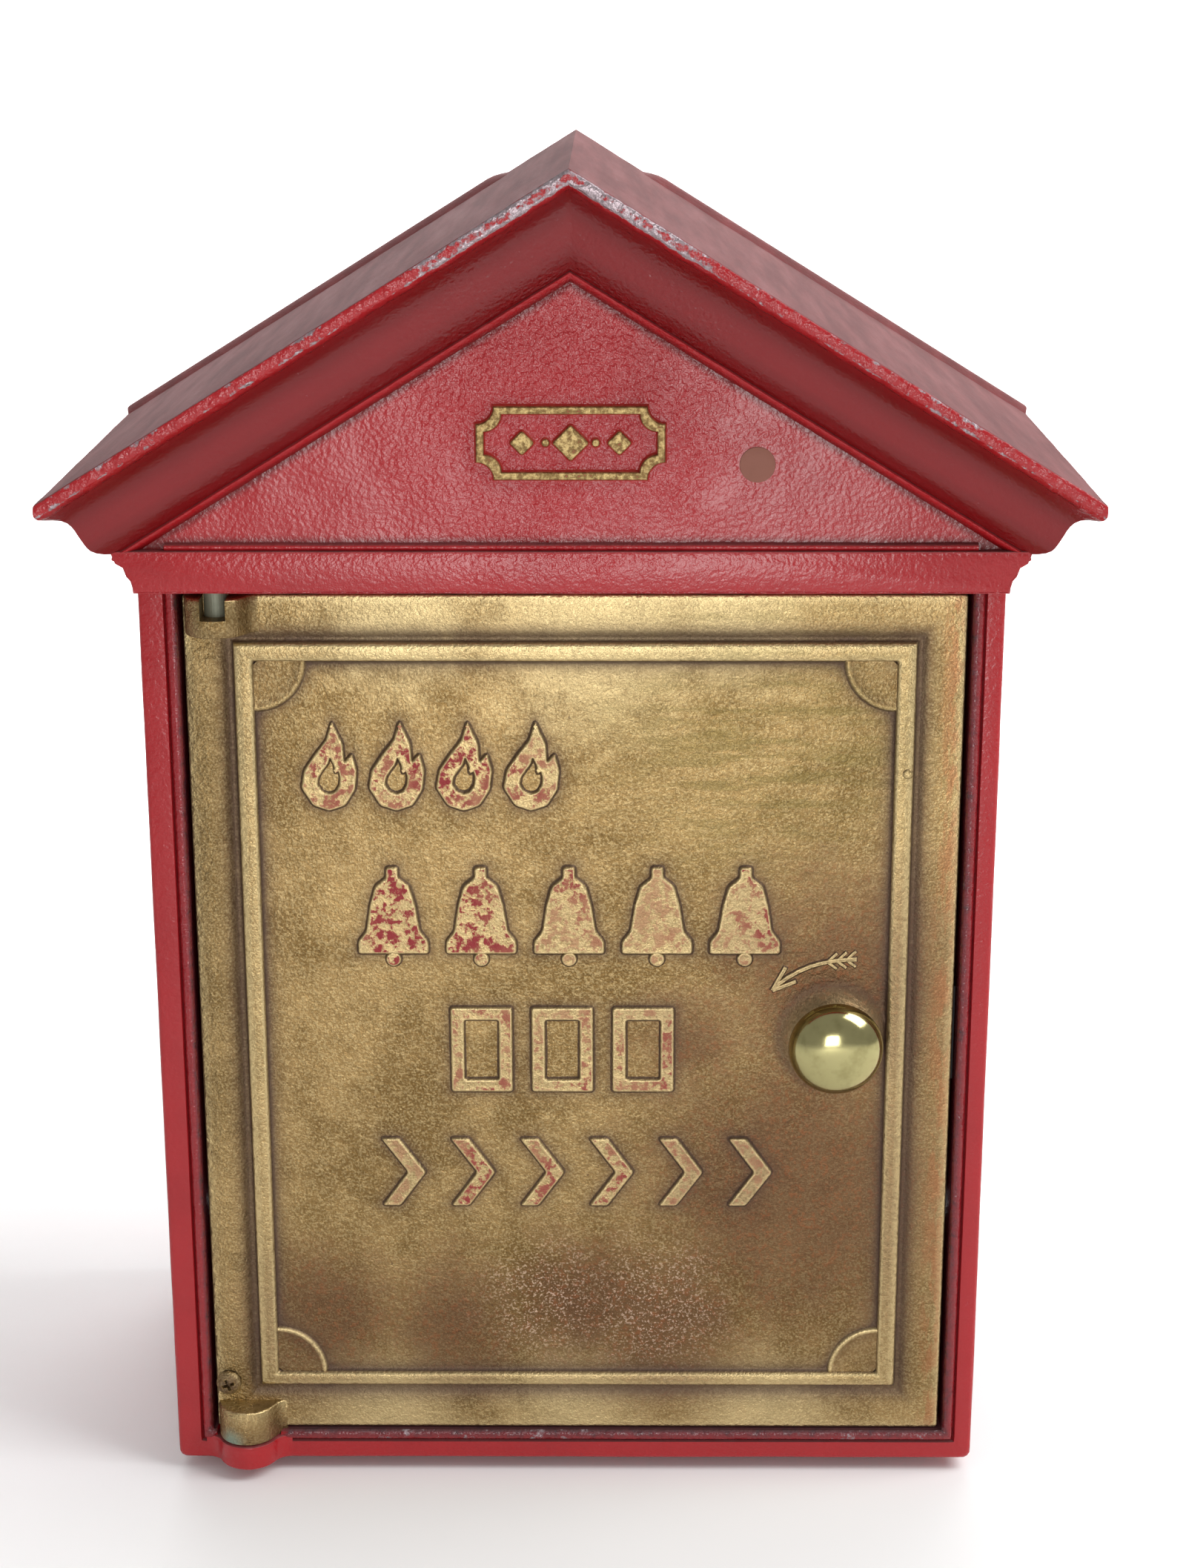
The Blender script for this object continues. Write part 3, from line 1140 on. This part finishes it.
class ALARMBOX_OT_door(bpy.types.Operator):
    """Build the cast door plate: border, channel, raised frame, panel and the mound behind the knob"""

    bl_idname = "alarmbox.door"
    bl_label = "Door plate"

    def execute(self, context):
        sizes = context.scene.alarm_door
        counts = (sizes.panel_columns, sizes.panel_rows)
        bm = bmesh.new()
        rows = [ring(bm, self.loop(0.0, FACE + 0.005, counts), 0.0, 0.6)]
        for inset, rise, wear, grime in DOOR_SECTION:
            rows.append(ring(bm, self.loop(inset, FACE - rise, counts, inset < 0.014), wear, grime))
        bridge_all(bm, rows)
        bm.faces.new(rows[0][::-1])
        self.swell(bm, sizes.stile_swell)
        self.add_panel(bm, rows[-1], counts)
        self.shape_panel(bm, sizes.boss_raise)
        made = piece("door_plate", bm, "door", BRASS)
        bore = bmesh.new()
        disc(bore, (KNOB_X, 0.0, KNOB_Z), SPINDLE_RADIUS, FACE - 0.02, FACE + 0.01, "Y", 32)
        cut(made, bore)
        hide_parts("door")
        return {"FINISHED"}

    def loop(self, inset, y, counts, rounded=True):
        """Points round the door at a distance in from its edge. The frame's foot is a little narrower."""
        insets = (0.0, 0.0144, 0.0170, 0.0238, 0.0252)
        foot = float(np.interp(inset, insets, (0.0, 0.0144, 0.0180, 0.0232, 0.0246)))
        x = (EDGE[0] + inset, EDGE[1] - inset)
        z = (EDGE[2] + foot, EDGE[3] - inset)
        return rectangle(x, z, y, counts, 0.0012 if rounded else 0.0004)

    def swell(self, bm, height):
        """The hinge stile bulges between the two lugs, and its face is rougher than the rest."""
        for vert in bm.verts:
            inset = vert.co.x - EDGE[0]
            z = vert.co.z - BOTTOM
            if 0.0001 < inset < 0.0144 and vert.co.y < FACE + 0.001:
                ends = min(1.0, max(0.0, (z - 0.030) / 0.006)) * min(1.0, max(0.0, (0.318 - z) / 0.006))
                rough = 0.00012 * noise.noise(vert.co / 0.0035)
                vert.co.y -= (height * math.sin(math.pi * inset / 0.0144) + rough) * ends

    def add_panel(self, bm, border, counts):
        """A grid that fills the inside of the last loop."""
        across, up = counts
        bottom = border[:across + 1]
        right = border[across:across + up + 1]
        top = border[across + up:2 * across + up + 1][::-1]
        left = [border[0]] + border[2 * across + up:][::-1]
        below = bottom
        for j in range(1, up + 1):
            if j == up:
                row = top
            else:
                places = [(bottom[i].co.x, PANEL_FACE, left[j].co.z) for i in range(1, across)]
                row = [left[j]] + ring(bm, places) + [right[j]]
            bridge(bm, below, row, closed=False)
            below = row

    def shape_panel(self, bm, boss):
        """Casting waves, the knob's mound, and dirt round everything that is raised."""
        wear, grime, _ = layers(bm)
        inside = [v for v in bm.verts if abs(v.co.y - PANEL_FACE) < 1e-7]
        spots = np.array([(v.co.x, v.co.z - BOTTOM) for v in inside])
        near = np.full(len(spots), 1.0)
        for outline, x, z, width, height in sign_cells():
            points = np.array(outline) * (width, height) + (x, z)
            near = np.minimum(near, distances(spots, points))
        for x in PANEL[:2]:
            for z in PANEL[2:]:
                near = np.minimum(near, np.abs(np.hypot(spots[:, 0] - x, spots[:, 1] - z) - 0.018))
        x, z = spots.T
        edge = np.minimum.reduce((x - PANEL[0], PANEL[1] - x, z - PANEL[2], PANEL[3] - z))
        halo = 0.75 * np.exp(-np.maximum(near, 0.0) / 0.0021)
        halo += 0.8 * np.exp(-np.maximum(edge - 0.0012, 0.0) / 0.0024)
        for vert, dirt, (x, z) in zip(inside, halo, spots):
            away = math.hypot(x - KNOB_X, z + BOTTOM - KNOB_Z)
            share = min(1.0, max(0.0, (0.0205 - away) / 0.0105))
            dome = share * share * (3 - 2 * share)
            wave = 0.00016 * noise.noise(vert.co / 0.024) + 0.00007 * noise.noise(vert.co / 0.007)
            vert.co.y -= boss * dome + wave * min(1.0, max(0.0, (away - 0.018) / 0.02))
            foot = math.exp(-((away - 0.0198) / 0.0022) ** 2) * 0.55
            vert[grime] = min(1.0, max(float(dirt), foot))
            vert[wear] = 0.55 * dome if dome < 0.98 else 0.1


def distances(spots, outline):
    """How far each spot is from a closed outline's edge."""
    best = np.full(len(spots), 1.0)
    for first, second in zip(outline, np.roll(outline, -1, 0)):
        along = second - first
        share = np.clip(((spots - first) @ along) / (along @ along), 0.0, 1.0)
        best = np.minimum(best, np.linalg.norm(spots - first - share[:, None] * along, axis=1))
    return best


class ALARMBOX_OT_signs(bpy.types.Operator):
    """Build the raised signs, the turn arrow and the quarter rounds in the panel's corners"""

    bl_idname = "alarmbox.signs"
    bl_label = "Signs, arrow and corners"

    def execute(self, context):
        sizes = context.scene.alarm_door
        bm = bmesh.new()
        for outline, x, z, width, height in sign_cells():
            points = [(x + u * width, z + v * height) for u, v in outline]
            outlines = [softened(points, 0.0011)]
            if outline is SQUARE:
                band = 2 * sizes.sign_stroke
                hole = [(x + u * (width - band), z + v * (height - band)) for u, v in outline]
                outlines.append(softened(hole, 0.0011))
            if outline is FLAME:
                hole = [(x + u * width * 0.42, z - height * 0.10 + v * height * 0.42) for u, v in outline]
                outlines.append(softened(hole, 0.0008))
            raised(bm, outlines, PANEL_FACE, sizes.sign_raise)
        self.add_clappers(bm, sizes.sign_raise)
        piece("door_signs", bm, "door", PAINTED_BRASS, (0, -1, 0))
        arrow = bmesh.new()
        self.add_arrow(arrow, sizes.arrow_raise)
        piece("turn_arrow", arrow, "door", BRASS, (0, -1, 0))
        pads = bmesh.new()
        self.add_pads(pads)
        piece("corner_quarter_rounds", pads, "door", BRASS, (0, -1, 0))
        return {"FINISHED"}

    def add_clappers(self, bm, height):
        """A clapper under each bell."""
        for outline, x, z, _, tall in sign_cells():
            if outline is BELL:
                points = arc(x, z - tall / 2 - 0.0022, 0.0026, 0.0, 2 * math.pi, 20)[:-1]
                raised(bm, [anticlockwise(points)], PANEL_FACE, height * 0.8, 0.8)

    def add_arrow(self, bm, height):
        """A bent arrow over the knob with a barbed head and three pairs of feathers."""
        line = [(0.0719, 0.1888), (0.0745, 0.1916), (0.0776, 0.1939), (0.0815, 0.1962), (0.0857, 0.1981),
                (0.0898, 0.1993), (0.0940, 0.2001), (0.0980, 0.2005), (0.1020, 0.2007)]
        raised(bm, [strip(line, 0.0015)], PANEL_FACE, height, 0.55)
        for barb in ((0.0765, 0.1976), (0.0803, 0.1922)):
            raised(bm, [strip([(0.0719, 0.1888), barb], 0.0014)], PANEL_FACE, height * 1.05, 0.5)
        for step in range(3):
            root = Vector((0.0915 + 0.0034 * step, 0.1997 + 0.0004 * step))
            for side in (1.0, -1.0):
                end = (root.x + 0.0034, root.y + side * 0.0030 + 0.0003)
                raised(bm, [strip([tuple(root), end], 0.0010)], PANEL_FACE, height * 0.9, 0.45)

    def add_pads(self, bm):
        """A quarter round in each corner of the panel."""
        quarter = math.pi / 2
        radius = 0.0180
        for x, z, turn in ((PANEL[0], PANEL[2], 0), (PANEL[1], PANEL[2], 1), (PANEL[1], PANEL[3], 2),
                           (PANEL[0], PANEL[3], 3)):
            rows = []
            section = ((0.0012, -0.0002, 0.0, 0.3), (0.0005, 0.00005, 0.0, 0.9), (0.0001, 0.0006, 0.3, 0.4),
                       (-0.0003, 0.0010, 1.0, 0.0), (-0.0009, 0.0011, 0.7, 0.0), (-0.0018, 0.0009, 0.0, 0.25),
                       (-0.0060, 0.0008, 0.0, 0.1), (-0.0120, 0.0008, 0.0, 0.15), (-0.0165, 0.0008, 0.0, 0.4))
            for out, rise, wear, grime in section:
                wear = wear if turn < 2 else wear * 0.25
                flat = arc(x, z, radius + out, turn * quarter - 0.04, (turn + 1) * quarter + 0.04, 24)
                rows.append(ring(bm, [(u, PANEL_FACE - rise, v + BOTTOM) for u, v in flat], wear, grime))
            bridge_all(bm, rows, closed=False)
            bm.faces.new(rows[-1])


class ALARMBOX_OT_hinge_lugs(bpy.types.Operator):
    """Build the two hinge lugs, each with the tail that runs into the door's face"""

    bl_idname = "alarmbox.hinge_lugs"
    bl_label = "Hinge lugs"

    def execute(self, context):
        low = BOSS_TOP + 0.0003
        lower = bmesh.new()
        self.add_lug(lower, low, low + 0.0135)
        piece("hinge_lug_lower", lower, "door", BRASS)
        top = EDGE[3]
        upper = bmesh.new()
        self.add_lug(upper, top - 0.0135, top)
        made = piece("hinge_lug_upper", upper, "door", BRASS)
        window = bmesh.new()
        half = 0.0044
        bmesh.ops.create_cube(window, size=1.0)
        for vert in window.verts:
            vert.co.x = HINGE_X + half * (1 if vert.co.x > 0 else -1)
            vert.co.y = HINGE_Y if vert.co.y > 0 else FRONT - 0.02
            vert.co.z = BOTTOM + (top + 0.001 if vert.co.z > 0 else top - 0.0072)
        cut(made, window)
        return {"FINISHED"}

    def add_lug(self, bm, low, high):
        """A round knuckle about the pin, with a tail that tapers into the door, closed and softened."""
        lean = math.radians(38.0)
        round_part = arc(HINGE_X, HINGE_Y, LUG_RADIUS, -lean, -1.5 * math.pi, 40)
        tail = [
            (HINGE_X + 0.0020, FACE + 0.0030),
            (HINGE_X + 0.0145, FACE + 0.0030),
            (HINGE_X + 0.0145, FACE - 0.0001),
            (HINGE_X + 0.0131, FACE - 0.0005),
            (HINGE_X + 0.0118, FACE - 0.0016),
            (HINGE_X + 0.0107, FACE - 0.0034),
        ]
        outline = anticlockwise(round_part + tail)
        bevel = 0.0006
        section = (
            (-bevel * 1.6, low, 0.3, 0.3),
            (-bevel * 0.5, low + bevel * 0.3, 0.3, 0.3),
            (0.0, low + bevel, 0.1, 0.2),
            (0.0, (low + high) / 2, 0.05, 0.1),
            (0.0, high - bevel, 0.35, 0.0),
            (-bevel * 0.5, high - bevel * 0.3, 1.0, 0.0),
            (-bevel * 1.6, high, 0.8, 0.0),
        )
        rows = []
        for out, z, wear, grime in section:
            flat = grown(outline, out)
            rows.append(ring(bm, [(u, v, z + BOTTOM) for u, v in flat], wear, grime))
        closed_shell(bm, rows)


class ALARMBOX_OT_door_fixings(bpy.types.Operator):
    """Build the frame's rivet and the cross-recess screw over the lower hinge"""

    bl_idname = "alarmbox.door_fixings"
    bl_label = "Rivet and screw"

    def execute(self, context):
        bm = bmesh.new()
        face = RIVET_LOW.y
        section = ((0.0006, face, 0.5, 0), (0.0013, face + 0.0001, 0.4, 0), (0.0018, face + 0.0004, 0.2, 0.4),
                   (0.0020, face + 0.0007, 0, 1), (0.0020, face + 0.0030, 0, 1))
        turned(bm, middle_of(RIVET_LOW, RIVET_HIGH), section, 28)
        rivet = piece("frame_rivet_head", bm, "door", BRASS)
        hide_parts("frame_rivet")
        head = bmesh.new()
        centre = middle_of(SCREW_LOW, SCREW_HIGH)
        radius = (SCREW_HIGH.x - SCREW_LOW.x) / 2
        front = SCREW_LOW.y
        section = ((radius * 0.30, front, 0, 0.8), (radius * 0.62, front + 0.0003, 0, 0.6),
                   (radius * 0.82, front + 0.0008, 0.1, 0.5), (radius * 0.95, front + 0.0015, 0.5, 0.3),
                   (radius, front + 0.0023, 0.6, 0.2), (radius * 0.98, front + 0.0029, 0, 1),
                   (radius * 0.5, front + 0.0030, 0, 1), (radius * 0.5, front + 0.0080, 0, 1))
        turned(head, centre, section, 40)
        screw = piece("hinge_screw_head", head, "door", BRASS)
        recess = bmesh.new()
        arm, thick = radius * 0.62, 0.00075
        turn = math.radians(18.0)
        cross = [(arm, -thick), (arm, thick), (thick, thick), (thick, arm), (-thick, arm), (-thick, thick)]
        cross += [(-u, -v) for u, v in cross]
        rows = []
        for depth, share in ((-0.001, 1.0), (0.0019, 0.55)):
            points = []
            for u, v in cross:
                x = (u * math.cos(turn) - v * math.sin(turn)) * share
                z = (u * math.sin(turn) + v * math.cos(turn)) * share
                points.append((centre[0] + x, front + depth, centre[2] + z))
            rows.append(ring(recess, points, 0.0, 1.0))
        closed_shell(recess, rows)
        cut(screw, recess)
        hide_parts("hinge_set_screw")
        return {"FINISHED"}


class ALARMBOX_OT_knob(bpy.types.Operator):
    """Build the polished knob with its domed face, rounded rim and neck"""

    bl_idname = "alarmbox.knob"
    bl_label = "Knob"

    def execute(self, context):
        bm = bmesh.new()
        front, back = KNOB_LOW.y, KNOB_HIGH.y
        radius = (KNOB_HIGH.x - KNOB_LOW.x) / 2
        dome = 0.0100
        section = []
        for step in range(1, 19):
            share = step / 18
            turn = share * math.pi / 2
            level = front + dome * (1 - math.cos(turn)) ** 1.12
            section.append((radius * 0.99 * math.sin(turn), level, 0, 0))
        neck = ((1.0, 0.0006, 0), (0.985, 0.0014, 0.1), (0.94, 0.0021, 0.3), (0.80, 0.0028, 0.5),
                (0.60, 0.0036, 0.8), (0.50, 0.0046, 1))
        section += [(radius * size, front + dome + behind, 0, grime) for size, behind, grime in neck]
        section += [(radius * 0.47, back, 0, 1), (SPINDLE_RADIUS, back, 0, 1)]
        section.append((SPINDLE_RADIUS, back - 0.004, 0, 1))
        turned(bm, (KNOB_X, 0.0, KNOB_Z), section, 96)
        made = piece("door_knob", bm, "knob", BRIGHT_BRASS)
        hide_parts("knob")
        return {"FINISHED"}


class ALARMBOX_OT_inner_parts(bpy.types.Operator):
    """Give the signal box, the clockwork, the pins and the latch their finishes and softened edges"""

    bl_idname = "alarmbox.inner_parts"
    bl_label = "Signal box and clockwork"

    finishes = {
        "stoved_black_enamel": ("inner_case", "inner_cover", "contact_lever"),
        "zinc_plated_steel": (
            "latch_", "knob_spindle", "case_screw", "main_arbor", "second_arbor",
            "fly_arbor", "sector_stud", "contact_stud", "hook_spring", "conduit_", "pull_hook"),
        "vulcanised_fibre": ("contact_block", "terminal_block"),
        "darkened_steel": ("hinge_pin_",),
        "black_oxide_steel": ("latch_keeper", "keeper_screw"),
    }

    def execute(self, context):
        made = materials()
        for name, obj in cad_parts.items():
            if obj.hide_render:
                continue
            chosen = "lathe_turned_brass"
            for finish, starts in self.finishes.items():
                if name.startswith(starts):
                    chosen = finish
            obj.data.materials.clear()
            obj.data.materials.append(made[chosen])
            bevel = obj.modifiers.new("soft_edges", "BEVEL")
            bevel.width = BEVEL
            bevel.segments = 2
            bevel.limit_method = "ANGLE"
            bevel.angle_limit = math.radians(40.0)
        return {"FINISHED"}


# ---- stage and add-on ----
# Each soft light: name, place, size, power and the point it is aimed at.
LIGHTS = (
    ("front", (0.02, -1.35, 0.09), 0.34, 4.0, (0.0, FRONT, 0.08)),
    ("key", (1.75, -0.55, 2.10), 1.80, 62.0, (0.0, FRONT, 0.08)),
    ("backdrop", (0.0, 0.90, 1.25), 1.3, 34.0, (0.0, 2.0, 0.1)),
)


class ALARMBOX_OT_stage(bpy.types.Operator):
    """Set up the pale floor, the soft lights and the camera"""

    bl_idname = "alarmbox.stage"
    bl_label = "Floor, lights and camera"

    def execute(self, context):
        stage = context.scene.alarm_stage
        self.add_floor(stage)
        for light in LIGHTS:
            self.add_light(*light)
        world = context.scene.world or bpy.data.worlds.new("room")
        context.scene.world = world
        world.use_nodes = True
        background = world.node_tree.nodes["Background"]
        background.inputs["Color"].default_value = (1.0, 1.0, 1.0, 1.0)
        background.inputs["Strength"].default_value = stage.sky
        context.scene.view_settings.view_transform = "Standard"
        self.add_camera(context.scene, stage)
        return {"FINISHED"}

    def add_floor(self, stage):
        """A wide floor that turns up into a backdrop far behind."""
        bm = bmesh.new()
        rows = []
        z = CAD_LOW.z - 0.0005
        section = [(-6.0, z)] + arc(1.1, z + 0.9, 0.9, -math.pi / 2, 0.0, 16)
        section.append((2.0, z + 5.0))
        for y, height in section:
            rows.append([bm.verts.new((x, y, height)) for x in (-6.0, 6.0)])
        bridge_all(bm, rows, closed=False)
        mesh = bpy.data.meshes.new("studio_floor")
        bm.to_mesh(mesh)
        bm.free()
        floor = bpy.data.objects.new("studio_floor", mesh)
        bpy.context.scene.collection.objects.link(floor)
        mesh.shade_smooth()
        material, tree, shader, place = blank("matt_white_paper")
        tone = tuple(stage.floor_colour)
        grain = noise_of(tree, place, 30.0, 2.0, 0.5)
        shade = blended(tree, grain, (*tone, 1.0), (*[c * 0.985 for c in tone], 1.0))
        wire(tree, shader, {"Base Color": shade, "Roughness": 0.9})
        mesh.materials.append(material)

    def add_light(self, name, place, size, power, target):
        """A square soft light aimed at a point."""
        light = bpy.data.lights.new(name, "AREA")
        light.shape = "SQUARE"
        light.size = size
        light.energy = power
        obj = bpy.data.objects.new(name, light)
        obj.location = place
        aim = Vector(target) - obj.location
        obj.rotation_euler = aim.to_track_quat("-Z", "Y").to_euler()
        bpy.context.scene.collection.objects.link(obj)

    def add_camera(self, scene, stage):
        """The camera, aimed by its pitch, yaw and roll."""
        data = bpy.data.cameras.new("camera")
        data.sensor_width = 36.0
        data.lens = stage.lens
        data.clip_start = 0.01
        data.clip_end = 100.0
        camera = bpy.data.objects.new("camera", data)
        down, side = stage.pitch, stage.yaw
        ahead = Vector((math.sin(side) * math.cos(down), math.cos(side) * math.cos(down), -math.sin(down)))
        right = Vector((math.cos(side), -math.sin(side), 0.0))
        up = right.cross(ahead)
        turned_right = right * math.cos(stage.roll) + up * math.sin(stage.roll)
        turned_up = up * math.cos(stage.roll) - right * math.sin(stage.roll)
        camera.matrix_world = Matrix((
            (turned_right.x, turned_up.x, -ahead.x, stage.camera[0]),
            (turned_right.y, turned_up.y, -ahead.y, stage.camera[1]),
            (turned_right.z, turned_up.z, -ahead.z, stage.camera[2]),
            (0.0, 0.0, 0.0, 1.0),
        ))
        scene.collection.objects.link(camera)
        scene.camera = camera


class ALARMBOX_PT_panel(bpy.types.Panel):
    """The alarm box's sizes, colours and pieces"""

    bl_idname = "ALARMBOX_PT_panel"
    bl_label = "Alarm Box"
    bl_space_type = "VIEW_3D"
    bl_region_type = "UI"
    bl_category = "Alarm Box"

    def draw(self, context):
        for name, kind in SETTINGS.items():
            box = self.layout.box()
            group = getattr(context.scene, name)
            for key in kind.__annotations__:
                box.prop(group, key)
        for operator in OPERATORS:
            self.layout.operator(operator.bl_idname)


OPERATORS = (
    ALARMBOX_OT_body,
    ALARMBOX_OT_cornice,
    ALARMBOX_OT_rear_ribs,
    ALARMBOX_OT_pediment,
    ALARMBOX_OT_hinge_boss,
    ALARMBOX_OT_emblem,
    ALARMBOX_OT_door,
    ALARMBOX_OT_signs,
    ALARMBOX_OT_hinge_lugs,
    ALARMBOX_OT_door_fixings,
    ALARMBOX_OT_knob,
    ALARMBOX_OT_inner_parts,
    ALARMBOX_OT_stage,
)
SETTINGS = {
    "alarm_housing": AlarmHousing,
    "alarm_door": AlarmDoor,
    "alarm_finish": AlarmFinish,
    "alarm_stage": AlarmStage,
}


def register():
    for group in SETTINGS.values():
        bpy.utils.register_class(group)
    for name, group in SETTINGS.items():
        setattr(bpy.types.Scene, name, PointerProperty(type=group))
    for operator in OPERATORS:
        bpy.utils.register_class(operator)
    bpy.utils.register_class(ALARMBOX_PT_panel)


def unregister():
    bpy.utils.unregister_class(ALARMBOX_PT_panel)
    for operator in reversed(OPERATORS):
        bpy.utils.unregister_class(operator)
    for name, group in SETTINGS.items():
        delattr(bpy.types.Scene, name)
        bpy.utils.unregister_class(group)


def main():
    """Register the add-on, build every piece in order, and note the sizes."""
    register()
    for operator in OPERATORS:
        group, name = operator.bl_idname.split(".")
        getattr(getattr(bpy.ops, group), name)()


if __name__ == "__main__":
    main()
